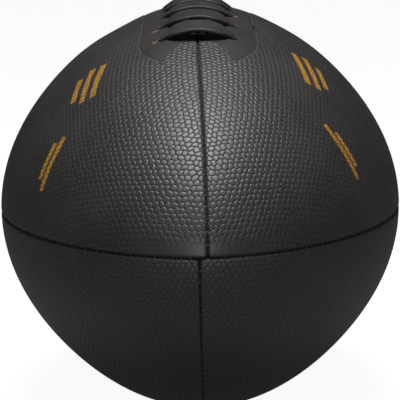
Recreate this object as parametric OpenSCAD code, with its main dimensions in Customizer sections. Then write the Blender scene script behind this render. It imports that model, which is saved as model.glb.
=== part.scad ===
// American football, built as the real ball is: four leather panels turned in and sewn
// along four seams, a cloth lining behind each, a rubber bladder with its valve, and one
// long lace through eight pairs of holes.
// The long axis lies along Y, the laces face up (+Z) and +X is to the right.
// The origin is under the middle of the ball, level with its lowest point.

/* [Ball] */
// Length from tip to tip
ball_length = 282; // [260:1:300]
// Distance from the long axis to a seam at mid length
seam_r = 86; // [80:0.5:92]
// How much nearer to the long axis the middle of a panel lies than its seams
panel_flat = 3.2; // [2.4:0.1:3.8]
// Fullness of the lengthwise curve, where 0.5 is an ellipse and more is pointed
taper_share = 0.58; // [0.54:0.01:0.64]
// Width of the little pit where the four panels meet at a tip
tip_pit_w = 2.4; // [1.6:0.1:3.2]

/* [Leather] */
// Thickness of the leather
leather_t = 1.9; // [1.5:0.1:2.2]
// Radius of the rolled edge along a seam
edge_roll = 1.7; // [1.2:0.1:1.9]
// Depth of the leather that is turned in at a seam, from the seam's outer edge
allowance = 5; // [4.2:0.1:5.2]
// Gap between the two turned-in edges of a seam
seam_gap = 0.1; // [0.06:0.01:0.2]
// Diameter of the thread that shows in a seam
thread_d = 0.8; // [0.5:0.05:0.9]

/* [Lining] */
// Thickness of the cloth lining
lining_t = 0.5; // [0.3:0.05:0.6]

/* [Bladder] */
// Thickness of the bladder's wall
bladder_t = 0.6; // [0.4:0.05:0.9]

/* [Valve] */
// Diameter of the valve's neck, which shows in the leather
neck_d = 7; // [6:0.1:8]
// How far the neck stops below the outside of the leather
neck_recess = 0.8; // [0.4:0.1:1.2]
// Diameter of the valve's stem inside the bladder
stem_d = 11; // [10:0.1:13]
// Length of the valve's stem below its flange
stem_l = 17; // [15:0.5:22]
// Diameter of the valve's flange
valve_flange_d = 22; // [18:0.5:26]
// Thickness of the valve's flange at its rim
valve_flange_t = 1; // [0.8:0.1:1.6]
// Diameter of the self-sealing core
core_d = 5.8; // [5:0.1:6.4]
// Length of the self-sealing core
core_l = 13; // [11:0.5:14]
// Diameter of the bore for the inflating needle
needle_d = 2.2; // [1.8:0.1:2.6]

/* [Laces] */
// Number of lace crossbars
bar_count = 8; // [6:1:8]
// Distance from one crossbar to the next
bar_pitch = 15.2; // [13.5:0.1:16]
// Distance from the seam to the middle of a lace hole
hole_x = 14.3; // [13:0.1:15.5]
// Diameter of a lace hole
hole_d = 4.8; // [4.7:0.1:5.4]
// Width of a crossbar at its middle
bar_w = 9.5; // [7.5:0.1:11]
// Thickness of a crossbar
bar_t = 1.5; // [1.2:0.1:1.8]
// Height of a crossbar's underside over the seam at its middle
bar_rise = 2.2; // [2.1:0.1:3]
// Height of a crossbar's underside over the leather beside its holes
bar_seat = 0.5; // [0.45:0.05:0.8]
// Width of the lace inside a hole, across the ball
plug_t = 3.2; // [2.8:0.1:3.3]
// Width of the lace inside a hole, along the ball
plug_w = 3.4; // [3:0.1:3.6]
// Width of the lace where it runs inside the ball
run_w = 5.6; // [4.8:0.1:6]
// Thickness of the lace where it runs inside the ball
run_t = 1.4; // [1.1:0.05:1.5]
// Length of the tucked ends of the lace
tail_l = 8; // [6:0.5:9]
// Width of the strand that runs along the seam under the crossbars
strand_w = 7; // [5:0.1:7.4]
// Thickness of that strand
strand_t = 1.4; // [1:0.05:1.5]

/* [Lace seat] */
// Thickness of the leather facing that stiffens the lace holes
facing_t = 1; // [0.8:0.1:1.2]
// Distance from the seam to the outer edge of the facing
facing_w = 25; // [22:0.5:27]
// Length of the seam's open slit past the first and the last lace hole
slit_end = 9; // [8:0.5:12]
// Length of the facing past the first and the last lace hole
facing_end = 20; // [18:0.5:21]
// Length of the facing's pointed ends
facing_point = 16; // [13:0.5:17]
// Thickness of the tongue between the laces and the bladder
tongue_t = 0.6; // [0.5:0.05:0.8]
// Width of the tongue
tongue_w = 36; // [35:0.5:37]
// Length of the tongue past the first and the last lace hole
tongue_end = 14; // [12:0.5:16]

/* [Hidden] */

// Fits and overruns
fit_gap = 0.1;
cut_over = 1;

// How finely the curved leather is divided
half_steps = 13;
arc_steps = 10;
roll_steps = 3;
bladder_sides = 24;
thread_sides = 6;
round_fn = 96;
small_fn = 32;

// Quarters of the ball as [across, up]
UPPER_LEFT = [-1, 1];
UPPER_RIGHT = [1, 1];
LOWER_LEFT = [-1, -1];
LOWER_RIGHT = [1, -1];
RIGHT = 1;
LEFT = -1;

// Each panel is a curve turned about an axis that lies past the middle of the ball,
// so that its middle is flatter than a round ball's and its seams stand out
half_l = ball_length / 2;
mid_r = seam_r - panel_flat;
axis_off = (seam_r * seam_r - mid_r * mid_r) / (2 * (sqrt(2) * mid_r - seam_r));
axis_far = axis_off * sqrt(2);
half_gap = seam_gap / 2;
tip_r = tip_pit_w / 2;
tip_core_share = 0.2;
tip_core_r = tip_pit_w * tip_core_share;

// Shares of the leather's size that its edges shrink to near a tip
roll_share = 0.25;
fold_share = 0.25;
step_share = 0.1;
fold_end_share = 1.5;

function roundness(y) = max(1 - pow(y / half_l, 2), 0);
function middle_r(y) = mid_r * pow(roundness(y), taper_share);
function lean(y) =
    2 * taper_share * mid_r * pow(roundness(y), taper_share - 1) * y / (half_l * half_l);
function stretch(y) = sqrt(1 + pow(lean(y), 2));
// Distance from the long axis to a layer that lies this deep, at the middle of a panel
function layer_r(y, depth) = max(middle_r(y) - depth * stretch(y), tip_core_r);
// The same from the panel's own axis
function turn_r(y, depth) = layer_r(y, depth) + axis_far;
// Distance from the seam plane's axis to that layer, at x from the seam
function height(y, depth, x) = sqrt(pow(turn_r(y, depth), 2) - pow(x + axis_off, 2)) - axis_off;
// Distance from the long axis to that layer in the direction of an angle in the quarter
function reach(y, depth, angle) =
    let (b = axis_off * (cos(angle) + sin(angle)))
    sqrt(b * b - axis_far * axis_far + pow(turn_r(y, depth), 2)) - b;

// Stations along the ball, closer together towards the tips
tip_angle = acos(pow(tip_r / mid_r, 1 / (2 * taper_share)));
function station(i, steps) = half_l * sin(tip_angle * i / steps);

// The ball's centre stands so high that its lowest point is at zero
centre_z = height(0, 0, half_gap + edge_roll);

// Depths of the layers below the outside of the leather
panel_arc = 90 - 2 * asin(axis_off / turn_r(0, 0));
facet_sag = turn_r(0, leather_t) * (1 - cos(panel_arc / arc_steps / 2));
station_sag =
    middle_r(station(0.5, half_steps)) - (middle_r(0) + middle_r(station(1, half_steps))) / 2;
lining_depth = leather_t + facet_sag + fit_gap;
facing_depth = lining_depth + lining_t + fit_gap;
run_depth = facing_depth + facing_t + fit_gap + station_sag;
tongue_depth = run_depth + run_t + fit_gap;
bladder_depth = lining_depth + lining_t + fit_gap;
fold_x = half_gap + leather_t;
lining_x = fold_x + fit_gap;

// Places of the crossbars along the ball
lace_span = (bar_count - 1) * bar_pitch;
function bar_y(i) = i * bar_pitch - lace_span / 2;
slit_half = lace_span / 2 + slit_end + fit_gap;
slope_step_share = 0.05;
slope_step = bar_pitch * slope_step_share;
function seam_slope(y) =
    atan((height(y + slope_step, 0, 0) - height(y - slope_step, 0, 0)) / (2 * slope_step));

// Puts a part made about the ball's centre in its place
module about_centre() {
    translate([0, 0, centre_z]) children();
}

// Joins rings of points, all with the same count, into one closed solid
module skin(rings) {
    n = len(rings[0]);
    m = len(rings);
    sides = [
        for (i = [0:m - 2], j = [0:n - 1])
            let (k = (j + 1) % n)
            each [
                [i * n + j, (i + 1) * n + k, i * n + k],
                [i * n + j, (i + 1) * n + j, (i + 1) * n + k]
            ]
    ];
    first = [for (j = [0:n - 1]) j];
    last = [for (j = [n - 1:-1:0]) (m - 1) * n + j];
    polyhedron(points = [for (r = rings) each r], faces = concat(sides, [first, last]));
}

// Leather

function mirrored(points) = [for (i = [len(points) - 1:-1:0]) [points[i][1], points[i][0]]];

// Half of the outer edge of a panel at one station: turned-in leather and rolled edge
function outer_edge(y) =
    let (
        roll = min(edge_roll, roll_share * middle_r(y)),
        x = half_gap + roll,
        z = height(y, 0, x) - roll
    )
    concat(
        [[half_gap, fold_end(y)]],
        [
            for (i = [0:roll_steps])
                let (a = 90 * i / roll_steps)
                [x - roll * cos(a), z + roll * sin(a)]
        ]
    );
function fold_at(y) = half_gap + min(leather_t, fold_share * layer_r(y, leather_t));
function fold_end(y) =
    let (x = fold_at(y), inner = height(y, leather_t, x))
    max(
        fold_end_share * x,
        min(height(y, 0, 0) - allowance, inner - step_share * (x - half_gap))
    );

// Points of a panel's arc between two angles from the seam, ends left out or kept
function arc_points(r, from, to, steps, skip) = [
    for (i = [skip:steps - skip])
        let (a = from + (to - from) * i / steps)
        [r * sin(a) - axis_off, r * cos(a) - axis_off]
];

function panel_section(y) =
    let (
        edge = outer_edge(y),
        outer_r = turn_r(y, 0),
        inner_r = turn_r(y, leather_t),
        from = asin((edge[len(edge) - 1][0] + axis_off) / outer_r),
        fold_x_here = fold_at(y),
        fold_from = asin((fold_x_here + axis_off) / inner_r),
        inside = arc_points(inner_r, fold_from, 90 - fold_from, arc_steps, 0),
        end = fold_end(y)
    )
    concat(
        edge,
        arc_points(outer_r, from, 90 - from, arc_steps, 1),
        mirrored(edge),
        [[end, fold_x_here]],
        [for (i = [len(inside) - 1:-1:0]) inside[i]],
        [[fold_x_here, end]]
    );

module panel_blank(quarter) {
    across = quarter[0];
    up = quarter[1];
    rings = [
        for (i = [-half_steps:half_steps])
            let (y = station(i, half_steps))
            [for (p = panel_section(y)) [across * p[0], y, up * p[1]]]
    ];
    turned = across * up > 0;
    skin(turned ? rings : [for (i = [len(rings) - 1:-1:0]) rings[i]]);
}

module panel(quarter) {
    color([0.13, 0.12, 0.12])
        about_centre()
            difference() {
                panel_blank(quarter);
                if (quarter[1] > 0) lace_holes(quarter[0], run_depth);
                if (quarter == LOWER_LEFT) along_valve() cylinder(d = neck_hole_d, h = seam_r, $fn = small_fn);
            }
}

// A layer of even thickness behind one panel, turned about the panel's own axis
module layer(quarter, depth, thickness, steps) {
    outside = [for (i = [-steps:steps]) let (y = station(i, half_steps)) [turn_r(y, depth), y]];
    inside = [
        for (i = [steps:-1:-steps])
            let (y = station(i, half_steps))
            [turn_r(y, depth + thickness), y]
    ];
    translate([-quarter[0] * axis_off, 0, -quarter[1] * axis_off])
        rotate([-90, 0, 0])
            rotate_extrude($fn = round_fn) polygon(concat(outside, inside));
}

// The quarter of space that one panel's lining may fill
module quarter_space(quarter, from) {
    scale([quarter[0], 1, quarter[1]])
        translate([from, -half_l, from])
            cube([seam_r, ball_length, seam_r]);
}

module lining(quarter) {
    color([0.78, 0.74, 0.64])
        about_centre()
            difference() {
                intersection() {
                    layer(quarter, lining_depth, lining_t, half_steps - 2);
                    quarter_space(quarter, lining_x);
                }
                if (quarter[1] > 0) lace_holes(quarter[0], run_depth);
                if (quarter == LOWER_LEFT) along_valve() cylinder(d = neck_hole_d, h = seam_r, $fn = small_fn);
            }
}

// Seam threads

thread_last = half_steps - 1;
thread_lift = sqrt(
    pow(edge_roll + thread_d / 2 + fit_gap / 2, 2) - pow(half_gap + edge_roll, 2)
) - edge_roll;
function thread_ring(y, turn) =
    let (z = height(y, 0, half_gap + edge_roll) + thread_lift)
    [
        for (j = [0:thread_sides - 1])
            let (
                a = 360 * j / thread_sides,
                x = thread_d / 2 * sin(a),
                up = z + thread_d / 2 * cos(a)
            )
            [x * cos(turn) + up * sin(turn), y, up * cos(turn) - x * sin(turn)]
    ];

module seam_thread(turn, ys) {
    color([0.06, 0.06, 0.06])
        about_centre()
            skin([for (y = ys) thread_ring(y, turn)]);
}
whole_seam = [for (i = [-thread_last:thread_last]) station(i, half_steps)];
front_seam = concat(
    [for (y = whole_seam) if (y < -slit_half - fit_gap) y],
    [-slit_half]
);
rear_seam = concat(
    [slit_half],
    [for (y = whole_seam) if (y > slit_half + fit_gap) y]
);

// Laces

// Frame of a crossbar: its point on the seam, then along the ball and out of the leather
function bar_point(i) = [0, bar_y(i), height(bar_y(i), 0, 0)];
function along(i) = let (a = seam_slope(bar_y(i))) [0, cos(a), sin(a)];
function outward(i) = let (a = seam_slope(bar_y(i))) [0, -sin(a), cos(a)];

// A strap's section as shares of its half width and half thickness
strap_shares = [
    [1, 0.4], [0.8, 1], [-0.8, 1], [-1, 0.4],
    [-1, -0.4], [-0.8, -1], [0.8, -1], [1, -0.4]
];
function strap_ring(at, wide, thick, w, t) = [
    for (s = strap_shares) at + wide * s[0] * w / 2 + thick * s[1] * t / 2
];

// Height of the leather beside a hole, seen from the crossbar's point on the seam
function hole_drop(i) =
    (height(bar_y(i), 0, 0) - height(bar_y(i), 0, hole_x)) * cos(seam_slope(bar_y(i)));
function bell_base(i) = bar_seat - hole_drop(i);
function bell(i, x) =
    bell_base(i) + (bar_rise - bell_base(i)) * (1 + cos(180 * x / hole_x)) / 2;
function bell_angle(i, x) =
    -atan((bar_rise - bell_base(i)) * PI / (2 * hole_x) * sin(180 * x / hole_x));

// Places along half a crossbar as shares of hole_x, with the strap's width as a share there
crest_shares = [[-0.62, 0.95], [-0.42, 1], [-0.2, 1], [0, 1], [0.2, 1], [0.42, 1], [0.62, 0.95]];
shoulder_share = 0.79;
shoulder_w_share = 0.72;
elbow_in_share = 0.3;
elbow_in = plug_t * elbow_in_share;
elbow_t = (plug_t + bar_t) / 2;
elbow_w_share = 0.33;
elbow_w = (plug_w + bar_w) * elbow_w_share;

// One ring of a crossbar: x across, n out of the leather, and the way its top faces
function bar_ring(i, way, x, n, face, w, t) = strap_ring(
    bar_point(i) + [way * x, 0, 0] + outward(i) * n,
    along(i) * way,
    [way * cos(face), 0, 0] + outward(i) * sin(face),
    w, t
);
function crest_ring(i, way, x, w) =
    let (lean = bell_angle(i, x), n = bell(i, x) + bar_t / 2 * cos(lean))
    bar_ring(i, way, x - bar_t / 2 * sin(lean), n, 90 + lean, w, bar_t);

function bar_rings(i) =
    let (
        way = i % 2 == 0 ? RIGHT : LEFT,
        low = -hole_drop(i) - run_depth / cos(run_turn),
        mouth = -hole_drop(i) - bar_seat,
        elbow = bell_base(i) + elbow_t / 2 + fit_gap,
        shoulder = shoulder_share * hole_x
    )
    concat(
        [
            bar_ring(i, way, -hole_x, low, 180 + run_turn, plug_w, plug_t),
            bar_ring(i, way, -hole_x, mouth, 180, plug_w, plug_t),
            bar_ring(i, way, elbow_in - hole_x, elbow, 135, elbow_w, elbow_t),
            crest_ring(i, way, -shoulder, bar_w * shoulder_w_share)
        ],
        [for (s = crest_shares) crest_ring(i, way, s[0] * hole_x, s[1] * bar_w)],
        [
            crest_ring(i, way, shoulder, bar_w * shoulder_w_share),
            bar_ring(i, way, hole_x - elbow_in, elbow, 45, elbow_w, elbow_t),
            bar_ring(i, way, hole_x, mouth, 0, plug_w, plug_t),
            bar_ring(i, way, hole_x, low, -run_turn, plug_w, plug_t)
        ]
    );

// A ring of the stretch inside the ball, which lies against the facing
run_turn = asin((hole_x + axis_off) / turn_r(0, run_depth));
function run_ring(y, way) =
    let (slope = seam_slope(y))
    strap_ring(
        [way * hole_x, y, height(y, run_depth + run_t / 2, hole_x)],
        [way * sin(run_turn), -sin(slope) * cos(run_turn), cos(slope) * cos(run_turn)] * way,
        [cos(run_turn) * way, 0, -sin(run_turn)],
        run_t, run_w
    );
run_in = plug_w / 2 + run_t / 2;
function run_rings(i) =
    let (way = i % 2 == 0 ? RIGHT : LEFT)
    [
        run_ring(bar_y(i) + run_in, way),
        run_ring((bar_y(i) + bar_y(i + 1)) / 2, way),
        run_ring(bar_y(i + 1) - run_in, way)
    ];
last_way = (bar_count - 1) % 2 == 0 ? RIGHT : LEFT;
lace_rings = concat(
    [run_ring(bar_y(0) - tail_l, LEFT), run_ring(bar_y(0) - run_in, LEFT)],
    [
        for (i = [0:bar_count - 1])
            each concat(bar_rings(i), i < bar_count - 1 ? run_rings(i) : [])
    ],
    [
        run_ring(bar_y(bar_count - 1) + run_in, last_way),
        run_ring(bar_y(bar_count - 1) + tail_l, last_way)
    ]
);

module lace() {
    color([0.2, 0.19, 0.19])
        about_centre()
            skin(lace_rings);
}

module lace_holes(side, depth) {
    for (i = [0:bar_count - 1])
        translate(bar_point(i) + [side * hole_x, 0, 0])
            rotate([seam_slope(bar_y(i)), 0, 0])
                translate([0, 0, -hole_drop(i) - depth - cut_over])
                    cylinder(d = hole_d, h = depth + 2 * cut_over, $fn = small_fn);
}

// A band turned about the ball's long axis, between two radii that follow its length
module band(ys, inner, outer) {
    n = len(ys) - 1;
    rotate([-90, 0, 0])
        rotate_extrude($fn = round_fn)
            polygon(concat(
                [for (i = [0:n]) [outer[i], ys[i]]],
                [for (i = [n:-1:0]) [inner[i], ys[i]]]
            ));
}
strand_end_share = 0.4;
strand_half = lace_span / 2 + bar_w * strand_end_share;
function even(from, to, steps) = [for (i = [0:steps]) from + (to - from) * i / steps];

module lace_strand() {
    ys = even(-strand_half, strand_half, 2 * bar_count);
    inner = [for (y = ys) height(y, 0, 0) + fit_gap * stretch(y)];
    outer = [for (y = ys) height(y, 0, 0) + (fit_gap + strand_t) * stretch(y)];
    color([0.2, 0.19, 0.19])
        about_centre()
            intersection() {
                band(ys, inner, outer);
                translate([-strand_w / 2, -half_l, 0]) cube([strand_w, ball_length, 2 * seam_r]);
            }
}

// Facing and tongue

facing_half = lace_span / 2 + facing_end;
// Plan of one end of a facing: along the slit's end, out to the point and round to the side
facing_corner_share = 0.32;
facing_point_share = 0.62;
facing_shoulder_share = 0.84;
facing_shoulder_step_share = 0.5;
facing_half_outline = [
    [lining_x, slit_half],
    [facing_w * facing_corner_share, slit_half],
    [facing_w * facing_point_share, facing_half],
    [facing_w * facing_shoulder_share, facing_half - facing_point * facing_shoulder_step_share],
    [facing_w, facing_half - facing_point]
];
facing_outline = concat(
    [for (p = facing_half_outline) [p[0], -p[1]]],
    [for (i = [len(facing_half_outline) - 1:-1:0]) facing_half_outline[i]]
);

module lace_facing(side) {
    quarter = [side, 1];
    color([0.3, 0.24, 0.2])
        about_centre()
            difference() {
                intersection() {
                    layer(quarter, facing_depth, facing_t, half_steps - 2);
                    linear_extrude(2 * seam_r) scale([side, 1]) polygon(facing_outline);
                }
                lace_holes(side, run_depth);
            }
}

// The tongue's outside clears the lace's outer edge, and the bladder clears its inside
run_edge_x = hole_x + run_w / 2;
function tongue_r(y) = norm([height(y, tongue_depth, run_edge_x), run_edge_x]);
tongue_half = lace_span / 2 + tongue_end;
tongue_corner_share = 0.17;

module lace_tongue() {
    ys = even(-tongue_half, tongue_half, 2 * bar_count);
    inner = [for (y = ys) tongue_r(y) - tongue_t * stretch(y)];
    outer = [for (y = ys) tongue_r(y)];
    corner = tongue_w * tongue_corner_share;
    color([0.35, 0.28, 0.22])
        about_centre()
            intersection() {
                band(ys, inner, outer);
                linear_extrude(2 * seam_r)
                    polygon([
                        for (sx = [-1, 1], sy = [-sx, sx])
                            each [
                                [
                                    sx * (tongue_w / 2 - (sx == sy ? 0 : corner)),
                                    sy * (tongue_half - (sx == sy ? corner : 0))
                                ],
                                [
                                    sx * (tongue_w / 2 - (sx == sy ? corner : 0)),
                                    sy * (tongue_half - (sx == sy ? 0 : corner))
                                ]
                            ]
                    ]);
            }
}

// Bladder

// Round the laces the bladder is pressed in by the tongue
press_angle = 360 / bladder_sides;
press_half = tongue_half + station(1, half_steps);
function pressed_r(y, wall) = tongue_r(y) - (tongue_t + fit_gap + wall) * stretch(y);
function bladder_r(y, a, wall) =
    let (
        quarter_angle = a % 90,
        free_r = reach(y, bladder_depth + wall, quarter_angle),
        seam_free_r = height(y, 0, 0) - (allowance + fit_gap + wall) * stretch(y),
        at_seam = quarter_angle == 0 ? min(free_r, seam_free_r) : free_r,
        pressed = abs(a - 90) <= press_angle && abs(y) <= press_half
    )
    pressed ? min(at_seam, pressed_r(y, wall)) : at_seam;
bladder_last = half_steps - 3;
// The rounded end past the last station
bladder_end_rise = 2;
bladder_end_share = 0.3;
function bladder_ring(y, at, share, wall) = [
    for (j = [0:bladder_sides - 1])
        let (a = 360 * j / bladder_sides, r = share * bladder_r(y, a, wall))
        [r * sin(a - 90), at, r * cos(a - 90)]
];
module bladder_form(wall) {
    end_y = station(bladder_last, half_steps);
    inward_share = (end_y - wall) / end_y;
    last_y = end_y * inward_share;
    top_y = (end_y + bladder_end_rise) * inward_share;
    skin(concat(
        [bladder_ring(-last_y, -top_y, bladder_end_share, wall)],
        [
            for (i = [-bladder_last:bladder_last])
                let (y = station(i, half_steps) * inward_share)
                bladder_ring(y, y, 1, wall)
        ],
        [bladder_ring(last_y, top_y, bladder_end_share, wall)]
    ));
}

module bladder() {
    color([0.16, 0.15, 0.15])
        about_centre()
            difference() {
                bladder_form(0);
                bladder_form(bladder_t);
                along_valve() cylinder(d = neck_hole_d, h = seam_r, $fn = small_fn);
            }
}

// Valve

neck_hole_d = neck_d + 2 * fit_gap;
valve_flange_top = reach(0, bladder_depth + bladder_t, 45) - fit_gap;
flange_cone_h = valve_flange_d / 2 * tan(press_angle / 2);
flange_base = valve_flange_top - flange_cone_h;
stem_base = flange_base - valve_flange_t - stem_l;
core_seat_share = 0.25;
core_base = stem_base + (stem_l - core_l) * core_seat_share;
core_top = core_base + core_l;

// The valve points out through the middle of the lower left panel, turned off the ball's own plane
valve_turn = 30;
module along_valve() {
    rotate([0, 225, 0]) rotate(valve_turn) children();
}

module valve_body() {
    mouth = middle_r(0) - neck_recess;
    color([0.1, 0.1, 0.1])
        about_centre()
            along_valve()
                difference() {
                    union() {
                        translate([0, 0, flange_base - valve_flange_t])
                            cylinder(d = valve_flange_d, h = valve_flange_t, $fn = small_fn);
                        translate([0, 0, flange_base])
                            cylinder(d1 = valve_flange_d, d2 = 0, h = flange_cone_h, $fn = small_fn);
                        translate([0, 0, stem_base])
                            cylinder(d = stem_d, h = stem_l, $fn = small_fn);
                        translate([0, 0, flange_base])
                            cylinder(d = neck_d, h = mouth - flange_base, $fn = small_fn);
                    }
                    translate([0, 0, stem_base - cut_over])
                        cylinder(
                            d = core_d + fit_gap,
                            h = core_top + fit_gap + cut_over - stem_base,
                            $fn = small_fn
                        );
                    translate([0, 0, core_top])
                        cylinder(d = needle_d, h = seam_r, $fn = small_fn);
                }
}

module valve_core() {
    color([0.45, 0.12, 0.1])
        about_centre()
            along_valve()
                difference() {
                    translate([0, 0, core_base]) cylinder(d = core_d, h = core_l, $fn = small_fn);
                    translate([0, 0, core_base - cut_over])
                        cylinder(d = needle_d, h = core_l + 2 * cut_over, $fn = small_fn);
                }
}

panel(UPPER_LEFT);  // panel_upper_left
panel(UPPER_RIGHT);  // panel_upper_right
panel(LOWER_LEFT);  // panel_lower_left
panel(LOWER_RIGHT);  // panel_lower_right
lining(UPPER_LEFT);  // lining_upper_left
lining(UPPER_RIGHT);  // lining_upper_right
lining(LOWER_LEFT);  // lining_lower_left
lining(LOWER_RIGHT);  // lining_lower_right
seam_thread(-90, whole_seam);  // seam_thread_left
seam_thread(90, whole_seam);  // seam_thread_right
seam_thread(180, whole_seam);  // seam_thread_bottom
seam_thread(0, front_seam);  // seam_thread_top_front
seam_thread(0, rear_seam);  // seam_thread_top_rear
lace_facing(LEFT);  // lace_facing_left
lace_facing(RIGHT);  // lace_facing_right
lace_tongue();
lace();
lace_strand();
bladder();
valve_body();
valve_core();
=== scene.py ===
# American football: pebbled leather panels, stitched seams, lace and all that the ball holds inside.
# Places are worked out in millimetres from the ball's centre and turned into metres at the end.
import bmesh
import bpy
import math
import numpy as np
import random
from mathutils import Matrix, Vector


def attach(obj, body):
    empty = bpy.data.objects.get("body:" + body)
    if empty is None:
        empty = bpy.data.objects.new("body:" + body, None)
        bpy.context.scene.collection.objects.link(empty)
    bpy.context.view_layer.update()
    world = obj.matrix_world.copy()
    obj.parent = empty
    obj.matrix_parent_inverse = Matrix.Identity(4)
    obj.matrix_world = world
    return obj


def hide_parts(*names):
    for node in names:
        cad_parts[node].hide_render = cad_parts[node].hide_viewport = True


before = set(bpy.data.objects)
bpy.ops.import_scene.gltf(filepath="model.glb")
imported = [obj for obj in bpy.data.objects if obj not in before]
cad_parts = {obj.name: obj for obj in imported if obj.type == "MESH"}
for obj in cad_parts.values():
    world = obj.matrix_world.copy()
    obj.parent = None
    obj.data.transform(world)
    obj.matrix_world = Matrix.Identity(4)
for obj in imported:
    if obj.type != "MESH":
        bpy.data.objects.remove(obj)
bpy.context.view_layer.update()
millimetre = 0.001  # in metres
print("frame loaded")

# The ball's shape

ball = {
    "halfLength": 141.0,
    "seamRadius": 86.0,
    "middleRadius": 82.8,
    "tipRadius": 0.48,  # no layer gets thinner than this at its tips
    "centreHeight": 85.8231,
    "taper": 0.58,
    "panels": 4,
    "skinMiddle": 82.4,  # the leather's outside as it lies over the linings
    "skinCrown": 3.15,
    "leather": 1.9,
    "tiny": 1e-9,
}
axisOff = (ball["seamRadius"] ** 2 - ball["middleRadius"] ** 2) / (
    2 * (math.sqrt(2) * ball["middleRadius"] - ball["seamRadius"])
)
axisFar = axisOff * math.sqrt(2)
skinSeam = ball["skinMiddle"] + ball["skinCrown"]
skinMean = ball["skinMiddle"] + ball["skinCrown"] / 2


def roundness(y):
    return np.clip(1 - (np.asarray(y, float) / ball["halfLength"]) ** 2, ball["tiny"], 1)


def meridian(y):
    # How far the ball reaches at y, as a share of its middle
    return roundness(y) ** ball["taper"]


def meridianSlope(y):
    curve = 2 * ball["taper"] / ball["halfLength"] ** 2
    return -curve * np.asarray(y, float) * roundness(y) ** (ball["taper"] - 1)


def seamReach(y):
    return skinSeam * meridian(y)


def seamNormal(y):
    # Out of the leather along a seam: its share along the ball and its share away from the axis
    slope = skinSeam * meridianSlope(y)
    size = np.sqrt(1 + slope ** 2)
    return -slope / size, 1 / size


def layerArc(y, depth):
    # The arc across a panel of a layer that lies this deep in the ball
    slope = ball["middleRadius"] * meridianSlope(y)
    middle = ball["middleRadius"] * meridian(y) - depth * np.sqrt(1 + slope ** 2)
    return np.maximum(middle, ball["tipRadius"]) + axisFar


def layerHeight(y, depth, x):
    return np.sqrt(layerArc(y, depth) ** 2 - (np.asarray(x, float) + axisOff) ** 2) - axisOff


def layerReach(y, depth, angle):
    back = axisOff * (np.abs(np.cos(angle)) + np.abs(np.sin(angle)))
    return np.sqrt(back ** 2 - axisFar ** 2 + layerArc(y, depth) ** 2) - back


def skin(y, angle):
    # Points of the leather's outside and its normals, angle measured from the seam above
    waves = ball["panels"]
    wave = ball["skinMiddle"] + ball["skinCrown"] * (1 + np.cos(waves * angle)) / 2
    reach = wave * meridian(y)
    alongSlope = wave * meridianSlope(y)
    roundSlope = -waves / 2 * ball["skinCrown"] * np.sin(waves * angle) * meridian(y) / reach
    sin, cos = np.sin(angle), np.cos(angle)
    normal = np.stack([sin - roundSlope * cos, -alongSlope, cos + roundSlope * sin], 1)
    return np.stack([reach * sin, y, reach * cos], 1), normal / np.linalg.norm(normal, axis=1)[:, None]


# A panel is cut flat: its rows run square to its middle line, as straight paths over the ball
flat = {
    "samples": 4001,
    "rows": 360,
    "step": 0.1, "reach": 84.0,
    "keep": 5,  # every fifth step goes into the table
    "tipZone": 0.6,
    "inside": 1.001,  # keeps a look-up inside the table
    "searchFrom": 66.0, "searchStep": 0.02, "searches": 14,
}
turns = np.linspace(0, math.pi / 2, flat["samples"])
profileY = ball["halfLength"] * np.sin(turns)
profileR = skinMean * meridian(profileY)
profileArc = np.concatenate([[0], np.cumsum(np.hypot(np.diff(profileY), np.diff(profileR)))])
profileSlope = np.gradient(profileR, profileArc)
halfArc = profileArc[-1]


def pathWay(arc, lean):
    # How fast a straight path gains length along the ball, leans over and turns round the axis
    radius = np.interp(np.abs(arc), profileArc, profileR)
    slope = np.interp(np.abs(arc), profileArc, profileSlope) * np.sign(arc)
    return np.sin(lean), slope * np.cos(lean) / radius, np.cos(lean) / radius


def flatTable():
    starts = np.linspace(0, halfArc - flat["tipZone"], flat["rows"])
    arc, lean, turned = starts.copy(), np.zeros_like(starts), np.zeros_like(starts)
    arcs, turnsMade = [arc], [turned]
    step = flat["step"]
    for count in range(1, int(flat["reach"] / step) + 1):
        arcWay, leanWay, _ = pathWay(arc, lean)
        arcWay, leanWay, turnWay = pathWay(arc + arcWay * step / 2, lean + leanWay * step / 2)
        arc = arc + arcWay * step
        lean = lean + leanWay * step
        turned = turned + turnWay * step
        if count % flat["keep"] == 0:
            arcs.append(arc)
            turnsMade.append(turned)
    return starts, np.array(arcs).T, np.array(turnsMade).T


flatStarts, flatArcs, flatTurns = flatTable()


def overBall(across, along):
    # From the flat panel to a place along the ball and an angle from its seam above or below
    pastTip = np.abs(along) > halfArc
    start = np.where(pastTip, 2 * halfArc - np.abs(along), np.abs(along))
    rows, columns = flatArcs.shape
    row = np.clip(start / flatStarts[-1] * (rows - 1), 0, rows - flat["inside"])
    column = np.clip(np.abs(across) / (flat["step"] * flat["keep"]), 0, columns - flat["inside"])
    rowAt = row.astype(int)
    columnAt = column.astype(int)
    rowShare = row - rowAt
    columnShare = column - columnAt

    def looked(table):
        near = table[rowAt, columnAt] * (1 - columnShare) + table[rowAt, columnAt + 1] * columnShare
        far = table[rowAt + 1, columnAt] * (1 - columnShare) + table[rowAt + 1, columnAt + 1] * columnShare
        return near * (1 - rowShare) + far * rowShare

    byTip = start > flatStarts[-1]
    toTip = halfArc - start
    arc = np.where(byTip, halfArc - np.hypot(toTip, across), looked(flatArcs))
    turned = np.where(byTip, np.arctan2(np.abs(across), toTip), looked(flatTurns))
    turned = np.where(pastTip, math.pi - turned, turned) * np.sign(across)
    y = np.interp(np.abs(arc), profileArc, profileY) * np.sign(arc) * np.sign(along)
    return y, math.pi / 4 - turned


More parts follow.
